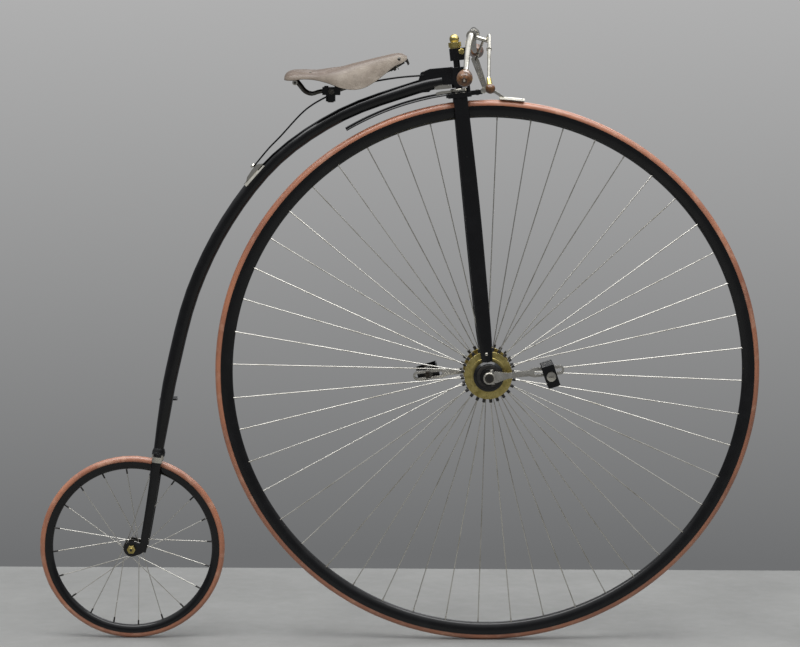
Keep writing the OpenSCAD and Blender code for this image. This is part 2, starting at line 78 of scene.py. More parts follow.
HEAD_FRONT = Vector((0, 1, 0)).cross(HEAD_AXIS)
GROUND = CAD_BOX[0].z
MM = 0.001
SHARP_DEGREES = 35
CRANK_LINE = (Vector(JOINTS["right_pedal_spin"]["pos_m"]) - FRONT_HUB) * Vector((1, 0, 1))
CRANK_THROW = CRANK_LINE.length / MM
CRANK_LINE.normalize()
CRANK_UP = Vector((-CRANK_LINE.z, 0, CRANK_LINE.x))


# ---------------------------------------------------------------- colours and nodes
def paint(code):
    """A colour written as sRGB hex, as linear red, green and blue."""
    values = [int(code[i:i + 2], 16) / 255 for i in (0, 2, 4)]
    return tuple(v / 12.92 if v <= 0.04045 else ((v + 0.055) / 1.055) ** 2.4 for v in values)


def add(tree, kind, inputs=None, **settings):
    """Adds a node with its settings. An input is a value, a socket, or a node whose first output is meant."""
    node = tree.nodes.new(kind)
    for key, value in settings.items():
        setattr(node, key, value)
    for key, value in (inputs or {}).items():
        if isinstance(value, bpy.types.Node):
            value = value.outputs[0]
        if isinstance(value, bpy.types.NodeSocket):
            tree.links.new(value, node.inputs[key])
        else:
            node.inputs[key].default_value = value
    return node


def rgba(colour):
    return (*colour, 1.0)


def per(size_mm):
    """Texture scale at which one feature is about this many millimetres across."""
    return 1 / (size_mm * MM)


def grain(size_mm, detail=3.0, rough=0.55):
    """Noise inputs for features about this many millimetres across."""
    return {"Scale": per(size_mm), "Detail": detail, "Roughness": rough}


# ---------------------------------------------------------------- materials
def new_finish(name, shader):
    """An empty material: itself, its tree, its shader and the place on the piece."""
    finish = bpy.data.materials.new(name)
    finish.use_nodes = True
    tree = finish.node_tree
    tree.nodes.clear()
    principled = add(tree, "ShaderNodeBsdfPrincipled", shader)
    add(tree, "ShaderNodeOutputMaterial", {"Surface": principled})
    return finish, tree, principled, add(tree, "ShaderNodeTexCoord").outputs["Object"]


def weathered(name, shader, base, patches, gloss, relief=None, stretch=(1, 1, 1)):
    """A finish of one colour with patches over it, an uneven gloss and a faint relief.

    A patch is its grain, the low and high noise that it fades in between, its share and its colour. The
    gloss is its grain and its least and most roughness. The relief is its grain, depth in millimetres and
    strength. The stretch is for the patches alone."""
    finish, tree, principled, place = new_finish(name, shader)
    drawn = place
    if stretch != (1, 1, 1):
        drawn = add(tree, "ShaderNodeMapping", {"Vector": place, "Scale": stretch})
    colour = rgba(base)
    for pattern, low, high, share, tint in patches:
        noise = add(tree, "ShaderNodeTexNoise", {"Vector": drawn, **pattern})
        inputs = {"Value": noise, "From Min": low, "From Max": high, "To Max": share}
        fade = add(tree, "ShaderNodeMapRange", inputs)
        blend = add(tree, "ShaderNodeMix", {0: fade, 6: colour, 7: rgba(tint)}, data_type="RGBA")
        colour = blend.outputs[2]
    tree.links.new(colour, principled.inputs["Base Color"])
    pattern, smooth, rough = gloss
    noise = add(tree, "ShaderNodeTexNoise", {"Vector": place, **pattern})
    inputs = {"Value": noise, "From Min": 0.3, "From Max": 0.7, "To Min": smooth, "To Max": rough}
    uneven = add(tree, "ShaderNodeMapRange", inputs)
    tree.links.new(uneven.outputs[0], principled.inputs["Roughness"])
    if relief:
        pattern, depth_mm, strength = relief
        noise = add(tree, "ShaderNodeTexNoise", {"Vector": place, **pattern})
        inputs = {"Height": noise, "Distance": depth_mm * MM, "Strength": strength}
        bump = add(tree, "ShaderNodeBump", inputs)
        tree.links.new(bump.outputs[0], principled.inputs["Normal"])
    return finish


def stove_enamel(colours):
    """Black stove enamel, dipped and baked: deep black with crisp reflections, light dust and a few chips."""
    finish = weathered(
        "black_stove_enamel", {"IOR": 1.5, "Specular IOR Level": 0.4}, colours.enamel,
        [(grain(60, 4), 0.5, 0.8, 1, colours.enamel_dust)],
        (grain(18, 5), 0.12, 0.24), (grain(7, 2), 0.04, 0.15))
    tree = finish.node_tree
    coat = tree.nodes["Principled BSDF"].inputs["Base Color"]
    place = add(tree, "ShaderNodeTexCoord").outputs["Object"]
    cell = add(tree, "ShaderNodeTexVoronoi", {"Vector": place, "Scale": per(38)})
    inputs = {"Value": cell, "From Min": 0.0135, "From Max": 0.0165, "To Min": 1.0, "To Max": 0.0}
    chip = add(tree, "ShaderNodeMapRange", inputs)
    inputs = {0: chip, 6: coat.links[0].from_socket, 7: rgba(paint("6f6a62"))}
    chipped = add(tree, "ShaderNodeMix", inputs, data_type="RGBA")
    tree.links.new(chipped.outputs[2], coat)
    return finish


def blackened_steel(colours):
    """Forged steel blacked over a fire and oiled, as on spoke heads and nipples: nearly black, half dull."""
    return weathered(
        "oil_blacked_steel", {"IOR": 1.5, "Specular IOR Level": 0.5}, colours.blacking,
        [(grain(6, 4), 0.4, 0.7, 1, paint("2a2622"))], (grain(4), 0.3, 0.5))


def nickel_plate(colours):
    """Nickel plate over polished steel: warm white and mirror bright, with cloudy patches and freckles."""
    return weathered(
        "old_nickel_plate", {"Metallic": 1.0}, colours.nickel,
        [(grain(22, 4, 0.6), 0.48, 0.75, 1, paint("a9a498")),
         (grain(5, 3, 0.6), 0.68, 0.76, 1, paint("7c766a"))],
        (grain(14, 4), 0.12, 0.26), (grain(9, 2), 0.04, 0.12))


def spoke_wire(colours):
    """Nickelled spoke wire, drawn through a die: bright where it looks up and dark where it looks across."""
    return weathered(
        "nickelled_spoke_wire", {"Metallic": 1.0}, colours.spoke,
        [(grain(60), 0.5, 0.75, 1, paint("a39e92"))], (grain(12), 0.16, 0.28))


def dulled_brass(colours):
    """Turned brass left to dull: pale yellow metal, softly shining, with olive patches of tarnish."""
    return weathered(
        "dulled_turned_brass", {"Metallic": 1.0}, colours.brass,
        [(grain(16, 5, 0.6), 0.45, 0.75, 1, colours.brass_tarnish),
         (grain(5), 0.66, 0.76, 1, paint("5a4c26"))],
        (grain(9, 4), 0.22, 0.4), (grain(5), 0.05, 0.2))


def oiled_steel(colours):
    """Machined steel darkened by oil and age: dull grey metal with brown stains."""
    return weathered(
        "oiled_dark_steel", {"Metallic": 1.0}, colours.steel,
        [(grain(12, 5), 0.42, 0.7, 1, paint("3a332c"))], (grain(6, 4), 0.3, 0.5), (grain(5, 4), 0.06, 0.2))


def polished_crank(colours):
    """Nickelled forging, hand filed and polished, as on cranks and the brake link: pale satin grey."""
    return weathered(
        "polished_nickel_forging", {"Metallic": 1.0}, colours.forging,
        [(grain(18, 5, 0.6), 0.4, 0.7, 1, paint("aeaaa1"))], (grain(9, 4), 0.16, 0.3), (grain(7), 0.05, 0.15))


def red_rubber(colours):
    """Moulded red rubber gone brown with age: a waxy shine, grimy patches and pale bloom."""
    return weathered(
        "aged_red_rubber", {"IOR": 1.52, "Specular IOR Level": 0.75}, colours.rubber,
        [(grain(120, 4, 0.6), 0.38, 0.7, 1, colours.rubber_old),
         (grain(30, 5, 0.6), 0.52, 0.78, 1, colours.rubber_bloom),
         (grain(12, 4), 0.62, 0.78, 0.6, paint("6b4636"))],
        (grain(30), 0.3, 0.44), (grain(14), 0.12, 0.25))


def polished_horn(colours):
    """Turned horn: brown and slightly translucent, streaked along its length, with a hand-polished gloss."""
    return weathered(
        "polished_brown_horn",
        {"IOR": 1.54, "Subsurface Weight": 0.04, "Coat Weight": 0.25, "Coat Roughness": 0.15}, colours.horn,
        [(grain(7, 4, 0.6), 0.35, 0.68, 1, colours.horn_pale)], (grain(8), 0.22, 0.36), stretch=(1, 0.12, 1))


def raw_hide(colours):
    """Cut edge and underside of the hide: raw, fibrous and dark with dirt."""
    return weathered(
        "raw_hide_underside", {"IOR": 1.45}, colours.hide_raw,
        [(grain(4, 5, 0.7), 0.35, 0.7, 1, paint("4d3b2f"))], (grain(2, 4), 0.75, 0.95),
        (grain(1.2, 4, 0.7), 0.25, 0.6))


def studio_floor(colours):
    """Painted studio floor: plain grey, matt, with faint scuffs."""
    return weathered(
        "plain_studio_floor", {"Specular IOR Level": 0.2}, colours.floor,
        [(grain(260, 5), 0.35, 0.7, 1, colours.floor_scuffed)], (grain(40, 4), 0.62, 0.8))


def worn_hide(colours):
    """Thick tanned hide, wet-moulded and ridden for years: brown on top and painted a pale grey beside as painted
    sheen, with stains, creases and pale scuffs.
    """
    finish = weathered(
        "worn_saddle_hide", {"IOR": 1.48, "Specular IOR Level": 0.5}, colours.hide_painted_sheen,
        [(grain(40, 4), 0.35, 0.7, 0.45, colours.hide)], (grain(18, 4), 0.32, 0.5))
    tree = finish.node_tree
    principled = tree.nodes["Principled BSDF"]
    place = add(tree, "ShaderNodeTexCoord").outputs["Object"]
    along = add(tree, "ShaderNodeSeparateXYZ", {"Vector": place}).outputs["X"]
    facing = add(tree, "ShaderNodeNewGeometry").outputs["Normal"]
    upward = add(tree, "ShaderNodeSeparateXYZ", {"Vector": facing}).outputs["Z"]
    blotch = add(tree, "ShaderNodeTexNoise", {"Vector": place, **grain(26, 5, 0.6)})
    cells = {"Vector": place, "Scale": per(4)}
    crease = add(tree, "ShaderNodeTexVoronoi", cells, feature="DISTANCE_TO_EDGE").outputs["Distance"]
    drawn = add(tree, "ShaderNodeMapping", {"Vector": place, "Scale": (0.25, 1, 1)})
    scuff = add(tree, "ShaderNodeTexNoise", {"Vector": drawn, **grain(9, 5, 0.7)})
    colour = principled.inputs["Base Color"].links[0].from_socket
    # Painted sheen: faces that look up take the brown hide and the flanks keep the pale base, as the light falls
    # on them; the rear half is browner than the nose
    for value, low, high, first, last, tint in (
            (along, -0.03, 0.035, 0.5, 0.0, colours.hide),
            (upward, 0.25, 0.7, 0.0, 1.0, colours.hide),
            (blotch, 0.54, 0.8, 0.0, 0.35, colours.hide_dark),
            (crease, 0.0, 0.06, 0.4, 0.0, colours.hide_dark),
            (scuff, 0.6, 0.72, 0.0, 0.4, paint("b3a89e"))):
        inputs = {"Value": value, "From Min": low, "From Max": high, "To Min": first, "To Max": last}
        share = add(tree, "ShaderNodeMapRange", inputs)
        blend = add(tree, "ShaderNodeMix", {0: share, 6: colour, 7: rgba(tint)}, data_type="RGBA")
        colour = blend.outputs[2]
    tree.links.new(colour, principled.inputs["Base Color"])
    edge = add(tree, "ShaderNodeMapRange", {"Value": crease, "From Min": 0.0, "From Max": 0.12})
    creased = add(tree, "ShaderNodeBump", {"Height": edge, "Distance": 0.14 * MM, "Strength": 0.45})
    pores = add(tree, "ShaderNodeTexNoise", {"Vector": place, **grain(1.4)})
    inputs = {"Height": pores, "Distance": 0.1 * MM, "Strength": 0.3, "Normal": creased}
    tree.links.new(add(tree, "ShaderNodeBump", inputs).outputs[0], principled.inputs["Normal"])
    return finish


MAKERS = {
    "enamel": stove_enamel, "black": blackened_steel, "nickel": nickel_plate, "brass": dulled_brass,
    "red_rubber": red_rubber, "steel": oiled_steel, "leather": worn_hide, "horn": polished_horn,
    "wire": spoke_wire, "crank": polished_crank, "underside": raw_hide, "floor": studio_floor,
}
_made = {}


def material(kind):
    """The named finish, made once from the colours in the panel."""
    if kind not in _made:
        _made[kind] = MAKERS[kind](bpy.context.scene.highwheel_colours)
    return _made[kind]


# ---------------------------------------------------------------- pieces
def place_piece(obj, kinds, body, stands_for=()):
    """Gives an object its materials, the body it rides on and the CAD nodes it stands for."""
    if obj.name not in bpy.context.scene.collection.objects:
        bpy.context.scene.collection.objects.link(obj)
    if kinds:
        obj.data.materials.clear()
        for kind in kinds:
            obj.data.materials.append(material(kind))
    if not obj.data.materials or not all(obj.data.materials):
        raise RuntimeError(obj.name + " has a slot with no finish")
    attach(obj, body)
    if stands_for:
        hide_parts(*stands_for)
    return obj


def shade(bm, sharp_degrees):
    """Smooth faces, with the edges sharper than the angle marked sharp."""
    limit = math.radians(sharp_degrees)
    for face in bm.faces:
        face.smooth = True
    for edge in bm.edges:
        edge.smooth = edge.calc_face_angle(0.0) < limit


def mesh_object(name, bm, sharp_degrees=SHARP_DEGREES):
    shade(bm, sharp_degrees)
    mesh = bpy.data.meshes.new(name)
    bm.to_mesh(mesh)
    bm.free()
    return bpy.data.objects.new(name, mesh)


def round_edges(obj, width_mm, segments=2):
    bevel = obj.modifiers.new("rounded_edges", "BEVEL")
    bevel.width = width_mm * MM
    bevel.segments = segments
    bevel.limit_method = "ANGLE"
    bevel.angle_limit = math.radians(SHARP_DEGREES)
    bevel.use_clamp_overlap = True
    bevel.harden_normals = True
    return obj


def finished_node(node, kinds, edge_mm=0.5):
    """A merged copy of a CAD node with smooth curves and rounded edges, which stands for the node."""
    bm = bmesh.new()
    bm.from_mesh(frame["nodes"][node].data)
    bmesh.ops.remove_doubles(bm, verts=bm.verts, dist=0.002 * MM)
    bmesh.ops.dissolve_limit(bm, angle_limit=math.radians(0.2), verts=bm.verts, edges=bm.edges)
    obj = round_edges(mesh_object(node + ".finished", bm), edge_mm)
    return place_piece(obj, kinds, BODY_OF[node], (node,))


def joined(name, objects):
    """Joins meshes that each have one material into one mesh with all of them."""
    finishes = []
    bm = bmesh.new()
    for obj in objects:
        finish = obj.data.materials[0]
        if finish not in finishes:
            finishes.append(finish)
        before = len(bm.faces)
        bm.from_mesh(obj.data)
        bm.faces.ensure_lookup_table()
        for face in bm.faces[before:]:
            face.material_index = finishes.index(finish)
    mesh = bpy.data.meshes.new(name)
    bm.to_mesh(mesh)
    bm.free()
    for finish in finishes:
        mesh.materials.append(finish)
    for obj in objects:
        bpy.data.objects.remove(obj)
    return bpy.data.objects.new(name, mesh)


def square_to(axis):
    """Two unit directions square to the axis and to each other."""
    axis = Vector(axis).normalized()
    first = axis.orthogonal().normalized()
    return first, axis.cross(first)


def turned(name, outline, centre, axis, segments=64):
    """A solid turned from (along, radius) pairs in millimetres, closed on itself or at its poles."""
    axis, centre = Vector(axis).normalized(), Vector(centre)
    u, v = square_to(axis)
    bm = bmesh.new()
    rings = []
    for along, radius in outline:
        point = centre + axis * along * MM
        if radius <= 0:
            rings.append([bm.verts.new(point)])
            continue
        turns = [2 * math.pi * k / segments for k in range(segments)]
        rim = [point + (u * math.cos(a) + v * math.sin(a)) * radius * MM for a in turns]
        rings.append([bm.verts.new(place) for place in rim])
    pairs = list(zip(rings, rings[1:]))
    if len(rings[0]) > 1 and len(rings[-1]) > 1:
        pairs.append((rings[-1], rings[0]))
    for a, b in pairs:
        for k in range(segments):
            n = (k + 1) % segments
            corners = [a[k % len(a)], a[n % len(a)], b[n % len(b)], b[k % len(b)]]
            unique = [c for i, c in enumerate(corners) if c not in corners[:i]]
            if len(unique) > 2:
                bm.faces.new(unique)
    bmesh.ops.recalc_face_normals(bm, faces=bm.faces)
    return mesh_object(name, bm, 28)


def spline(points, steps):
    """Points along the smooth curve through the given ones, any number of values to a point."""
    before = [2 * a - b for a, b in zip(points[0], points[1])]
    after = [2 * a - b for a, b in zip(points[-1], points[-2])]
    held = [before, *points, after]
    result = []
    for k in range(len(points) - 1):
        for i in range(steps):
            t = i / steps
            weights = (-t + 2 * t ** 2 - t ** 3, 2 - 5 * t ** 2 + 3 * t ** 3,
                       t + 4 * t ** 2 - 3 * t ** 3, t ** 3 - t ** 2)
            columns = zip(*held[k:k + 4])
            result.append([sum(w * v for w, v in zip(weights, column)) / 2 for column in columns])
    return result + [list(points[-1])]


def cut_plate(name, outline, centre, across, up, thick_mm):
    """A flat outline of (across, up) pairs in millimetres, given its thickness evenly about its plane."""
    across, up = Vector(across).normalized(), Vector(up).normalized()
    through = across.cross(up)
    bm = bmesh.new()
    faces = []
    for side in (-0.5, 0.5):
        places = [Vector(centre) + (across * a + up * b + through * side * thick_mm) * MM for a, b in outline]
        faces.append([bm.verts.new(place) for place in places])
    for corners in faces:
        bm.faces.new(corners)
    for k in range(len(outline)):
        n = (k + 1) % len(outline)
        bm.faces.new((faces[0][k], faces[0][n], faces[1][n], faces[1][k]))
    bmesh.ops.recalc_face_normals(bm, faces=bm.faces)
    return mesh_object(name, bm, 30)


# ---------------------------------------------------------------- geometry nodes
def new_tree(name, inputs):
    """A geometry node tree with named inputs, each given as (name, socket type)."""
    tree = bpy.data.node_groups.new(name, "GeometryNodeTree")
    for label, kind in inputs:
        tree.interface.new_socket(label, in_out="INPUT", socket_type=kind)
    tree.interface.new_socket("Geometry", in_out="OUTPUT", socket_type="NodeSocketGeometry")
    return tree, tree.nodes.new("NodeGroupInput").outputs


def end_tree(tree, geometry, finish):
    """Realizes the instances, shades them smooth and gives them their material."""
    real = add(tree, "GeometryNodeRealizeInstances", {"Geometry": geometry})
    smooth = add(tree, "GeometryNodeSetShadeSmooth", {"Geometry": real})
    painted = add(tree, "GeometryNodeSetMaterial", {"Geometry": smooth, "Material": finish})
    add(tree, "NodeGroupOutput", {"Geometry": painted})


def grown(name, tree, values):
    """The mesh that a tree makes with these input values, as a plain object with no modifier."""
    carrier = bpy.data.objects.new(name + ".carrier", bpy.data.meshes.new(name + ".carrier"))
    bpy.context.scene.collection.objects.link(carrier)
    modifier = carrier.modifiers.new("grow", "NODES")
    modifier.node_group = tree
    for item in tree.interface.items_tree:
        if item.in_out == "INPUT" and item.name in values:
            modifier[item.identifier] = values[item.name]
    bpy.context.view_layer.update()
    depsgraph = bpy.context.evaluated_depsgraph_get()
    mesh = bpy.data.meshes.new_from_object(carrier.evaluated_get(depsgraph))
    mesh.name = name
    bpy.data.objects.remove(carrier)
    # The carrier's own slot comes first and is empty, so only the tree's finish is kept
    finishes = [finish for finish in mesh.materials if finish]
    if len(finishes) != 1:
        raise RuntimeError(name + " was grown with " + str(len(finishes)) + " finishes instead of one")
    mesh.materials.clear()
    mesh.materials.append(finishes[0])
    mesh.polygons.foreach_set("material_index", [0] * len(mesh.polygons))
    return bpy.data.objects.new(name, mesh)


def spoke_tree():
    """Rods from one point to another, repeated round the wheel's axle (Y) by an even step."""
    tree, given = new_tree("Spoked wheel", [
        ("Count", "NodeSocketInt"), ("First angle", "NodeSocketFloat"), ("Centre", "NodeSocketVector"),
        ("From", "NodeSocketVector"), ("To", "NodeSocketVector"), ("Radius", "NodeSocketFloat"),
        ("Sides", "NodeSocketInt"), ("Finish", "NodeSocketMaterial")])
    line = add(tree, "GeometryNodeCurvePrimitiveLine", {"Start": given["From"], "End": given["To"]})
    section = {"Resolution": given["Sides"], "Radius": given["Radius"]}
    ring = add(tree, "GeometryNodeCurvePrimitiveCircle", section)
    inputs = {"Curve": line, "Profile Curve": ring, "Fill Caps": True}
    rod = add(tree, "GeometryNodeCurveToMesh", inputs)
    seats = add(tree, "GeometryNodePoints", {"Count": given["Count"]})
    index = add(tree, "GeometryNodeInputIndex")
    step = add(tree, "ShaderNodeMath", {0: 2 * math.pi, 1: given["Count"]}, operation="DIVIDE")
    inputs = {0: index, 1: step, 2: given["First angle"]}
    angle = add(tree, "ShaderNodeMath", inputs, operation="MULTIPLY_ADD")
    # A positive turn about the axle would run downwards from straight ahead
    upward = add(tree, "ShaderNodeMath", {0: angle, 1: -1.0}, operation="MULTIPLY")
    turn = add(tree, "ShaderNodeCombineXYZ", {"Y": upward})
    inputs = {"Points": seats, "Instance": rod, "Rotation": turn}
    wheel = add(tree, "GeometryNodeInstanceOnPoints", inputs)
    moved = add(tree, "GeometryNodeTransform", {"Geometry": wheel, "Translation": given["Centre"]})
    end_tree(tree, moved, given["Finish"])
    return tree


def tyre_tree():
    """A round section swept about the axle, with the faint unevenness of moulded rubber."""
    tree, given = new_tree("Solid tyre", [
        ("Centre", "NodeSocketVector"), ("Radius", "NodeSocketFloat"), ("Section", "NodeSocketFloat"),
        ("Unevenness", "NodeSocketFloat"), ("Finish", "NodeSocketMaterial")])
    round_path = {"Resolution": 288, "Radius": given["Radius"]}
    path = add(tree, "GeometryNodeCurvePrimitiveCircle", round_path)
    section = {"Resolution": 28, "Radius": given["Section"]}
    ring = add(tree, "GeometryNodeCurvePrimitiveCircle", section)
    tube = add(tree, "GeometryNodeCurveToMesh", {"Curve": path, "Profile Curve": ring})
    inputs = {"Geometry": tube, "Translation": given["Centre"], "Rotation": (math.pi / 2, 0, 0)}
    stood = add(tree, "GeometryNodeTransform", inputs)
    wave = add(tree, "ShaderNodeTexNoise", {"Scale": per(45), "Detail": 2.0})
    swell = add(tree, "ShaderNodeMath", {0: wave, 1: 0.55}, operation="SUBTRACT")
    lift = add(tree, "ShaderNodeMath", {0: swell, 1: given["Unevenness"]}, operation="MULTIPLY")
    facing = add(tree, "GeometryNodeInputNormal")
    outward = add(tree, "ShaderNodeVectorMath", {0: facing, "Scale": lift}, operation="SCALE")
    uneven = add(tree, "GeometryNodeSetPosition", {"Geometry": stood, "Offset": outward})
    end_tree(tree, uneven, given["Finish"])
    return tree


def stud_tree():
    """One domed head, set at a place and turned to face a direction."""
    tree, given = new_tree("Domed head", [
        ("Place", "NodeSocketVector"), ("Facing", "NodeSocketVector"), ("Radius", "NodeSocketFloat"),
        ("Height", "NodeSocketFloat"), ("Finish", "NodeSocketMaterial")])
    dome = add(tree, "GeometryNodeMeshUVSphere", {"Segments": 16, "Rings": 8, "Radius": 1.0})
    inputs = {"X": given["Radius"], "Y": given["Radius"], "Z": given["Height"]}
    size = add(tree, "ShaderNodeCombineXYZ", inputs)
    flat = add(tree, "GeometryNodeTransform", {"Geometry": dome, "Scale": size})
    seat = add(tree, "GeometryNodePoints", {"Count": 1, "Position": given["Place"]})
    turn = add(tree, "FunctionNodeAlignRotationToVector", {"Vector": given["Facing"]})
    inputs = {"Points": seat, "Instance": flat, "Rotation": turn}
    head = add(tree, "GeometryNodeInstanceOnPoints", inputs)
    end_tree(tree, head, given["Finish"])
    return tree


# ---------------------------------------------------------------- settings
def colour_setting(label, code, about):
    return bpy.props.FloatVectorProperty(
        name=label, description=about, subtype="COLOR", size=3, min=0, max=1, default=paint(code))


class HighwheelColours(bpy.types.PropertyGroup):
    """Colours of the finishes."""

    enamel: colour_setting("Enamel", "060607", "Stove enamel of the frame, fork and rims")
    enamel_dust: colour_setting("Enamel dust", "101012", "Enamel where dust dulls it")
    blacking: colour_setting("Blacking", "121110", "Spoke heads and rear nipples")
    nickel: colour_setting("Nickel", "cfcbc0", "Plated handlebar, brake and clip")
    forging: colour_setting("Forging", "d3d0c8", "Cranks and brake link")
    spoke: colour_setting("Spoke wire", "cfccc4", "Plated spoke wire")
    brass: colour_setting("Brass", "c6b574", "Hub flanges and nuts")
    brass_tarnish: colour_setting("Brass tarnish", "958648", "Brass where it has dulled")
    steel: colour_setting("Dark steel", "5a5955", "Axles, spindles and saddle iron")
    rubber: colour_setting("Red rubber", "a36a4e", "Tyres")
    rubber_old: colour_setting("Aged rubber", "83523e", "Tyres where the rubber has aged")
    rubber_bloom: colour_setting("Rubber bloom", "b5886f", "Pale bloom on the tyres")
    hide: colour_setting("Hide", "584a3f", "Saddle leather")
    # Painted sheen: the pale base colour that the saddle's flanks keep where they would catch the light
    hide_painted_sheen: colour_setting("Painted hide sheen", "9c9286", "Saddle leather where it is painted pale as sheen")
    hide_dark: colour_setting("Dark hide", "41352e", "Creases and stains of the leather")
    hide_raw: colour_setting("Raw hide", "30241d", "Cut edge and underside of the leather")
    horn: colour_setting("Horn", "43280f", "Grips and brake knob")
    horn_pale: colour_setting("Pale horn", "704a26", "Streaks in the horn")
    floor: colour_setting("Floor", "838381", "Studio floor")
    floor_scuffed: colour_setting("Scuffed floor", "7a7a78", "Studio floor where it is scuffed")


class HighwheelSizes(bpy.types.PropertyGroup):
    """Sizes of the pieces that are grown here."""

    front_spokes: bpy.props.IntProperty(
        name="Front spokes", description="Spokes in the front wheel, on two flanges",
        default=48, min=40, max=60)
    front_first: bpy.props.FloatProperty(
        name="First front spoke", description="Angle of the first right-hand spoke above straight ahead",
        default=math.radians(6), subtype="ANGLE")
    rear_spokes: bpy.props.IntProperty(
        name="Rear spokes", description="Spokes in the rear wheel, on two flanges",
        default=20, min=16, max=24)
    rear_first: bpy.props.FloatProperty(
        name="First rear spoke", description="Angle of the first left-hand spoke above straight ahead",
        default=math.radians(4), subtype="ANGLE")
    wire: bpy.props.FloatProperty(
        name="Front wire", description="Radius of a front spoke", default=1.4 * MM, unit="LENGTH")
    rear_wire: bpy.props.FloatProperty(
        name="Rear wire", description="Radius of a rear spoke", default=1.1 * MM, unit="LENGTH")
    unevenness: bpy.props.FloatProperty(
        name="Unevenness", description="How far the tyres' rubber swells and dips",
        default=0.9 * MM, unit="LENGTH")


# ---------------------------------------------------------------- operators
CAMERA_PLACE = Vector((0.119, -6.256, 0.116))
CAMERA_YAW, CAMERA_PITCH, CAMERA_ROLL = (math.radians(a) for a in (0.55, 6.87, -0.42))
LENS_MM, SENSOR_MM = 113.1, 36.0


def graded_sky(tree, height, low, high, dark, pale, strength=1.0):
    """A background that goes from a dark grey to a pale one between two heights."""
    rise = add(tree, "ShaderNodeMapRange", {"Value": height, "From Min": low, "From Max": high})
    inputs = {0: rise, 6: rgba(paint(dark)), 7: rgba(paint(pale))}
    tone = add(tree, "ShaderNodeMix", inputs, data_type="RGBA")
    return add(tree, "ShaderNodeBackground", {"Color": tone.outputs[2], "Strength": strength})


def soft_lamp(name, place, aim, size, power, mirrored=True):
    """A rectangular lamp that faces a point, and that metal may or may not mirror."""
    light = bpy.data.lights.new(name, "AREA")
    light.shape = "RECTANGLE"
    light.size, light.size_y = size
    light.energy = power
    lamp = bpy.data.objects.new(name, light)
    lamp.location = place
    lamp.rotation_mode = "QUATERNION"
    lamp.rotation_quaternion = (Vector(aim) - Vector(place)).to_track_quat("-Z", "Y")
    lamp.visible_glossy = mirrored
    bpy.context.scene.collection.objects.link(lamp)


class HIGHWHEEL_OT_stage(bpy.types.Operator):
    """Floor, soft light and the camera"""

    bl_idname = "highwheel.stage"
    bl_label = "Studio stage"

    def execute(self, context):
        scene = context.scene
        side, near, far = 4.5, -4.5, 0.82
        corners = [(-side, near, GROUND), (side, near, GROUND), (side, far, GROUND), (-side, far, GROUND)]
        ground = bpy.data.meshes.new("floor")
        ground.from_pydata(corners, [], [(0, 1, 2, 3)])
        ground.materials.append(material("floor"))
        floor = bpy.data.objects.new("floor", ground)
        scene.collection.objects.link(floor)

        scene.world = bpy.data.worlds.new("studio")
        scene.world.use_nodes = True
        tree = scene.world.node_tree
        tree.nodes.clear()
        facing = add(tree, "ShaderNodeTexCoord").outputs["Generated"]
        height = add(tree, "ShaderNodeSeparateXYZ", {"Vector": facing}).outputs["Z"]
        # The eye sees a wall painted darker towards the floor as painted shade, while the metal reflects a dim
        # room under a bright ceiling
        seen = add(tree, "ShaderNodeLightPath").outputs["Is Camera Ray"]
        room = graded_sky(tree, height, 0.3, 0.95, "68696b", "f6f8fb", 1.5)
        wall = graded_sky(tree, height, -0.21, 0.02, "6e6f70", "b2b2b2")
        sky = add(tree, "ShaderNodeMixShader", {0: seen, 1: room, 2: wall})
        add(tree, "ShaderNodeOutputWorld", {"Surface": sky})

        soft_lamp("overhead", (0.0, -0.9, 2.6), (0, 0.0, -0.7), (4.5, 2.2), 150)
        soft_lamp("front_fill", (-1.8, -5.0, 1.4), (0, 0, -0.4), (4.0, 3.0), 55, mirrored=False)
        soft_lamp("back_rim", (1.5, 3.4, 2.4), (0, 0, -0.6), (3.0, 1.2), 40)

        lens = bpy.data.cameras.new("camera")
        lens.lens, lens.sensor_width = LENS_MM, SENSOR_MM
        level = Vector((math.sin(CAMERA_YAW), math.cos(CAMERA_YAW), 0))
        ahead = level * math.cos(CAMERA_PITCH) - Vector((0, 0, math.sin(CAMERA_PITCH)))
        right = Vector((level.y, -level.x, 0))
        down = ahead.cross(right)
        across_view = right * math.cos(CAMERA_ROLL) + down * math.sin(CAMERA_ROLL)
        down_view = down * math.cos(CAMERA_ROLL) - right * math.sin(CAMERA_ROLL)
        camera = bpy.data.objects.new("camera", lens)
        camera.rotation_mode = "QUATERNION"
        camera.rotation_quaternion = Matrix((across_view, -down_view, -ahead)).transposed().to_quaternion()
        camera.location = CAMERA_PLACE
        scene.collection.objects.link(camera)
        scene.camera = camera
        scene.view_settings.view_transform = "Standard"
        return {"FINISHED"}


class HIGHWHEEL_OT_enamel(bpy.types.Operator):
    """Enamelled frame, fork and mudguard"""

    bl_idname = "highwheel.enamel"
    bl_label = "Enamelled pieces"

    def execute(self, context):
        for node in ("backbone", "head_neck", "rear_fork_crown", "rear_fork_right", "rear_fork_left",
                     "mounting_step", "saddle_spring", "saddle_clamp", "fork_head", "fork_blade_right",
                     "fork_blade_left", "bearing_case_right", "bearing_case_left", "mudguard",
                     "pedal_right_cage", "pedal_left_cage"):
            finished_node(node, ("enamel",), 0.6)
        return {"FINISHED"}


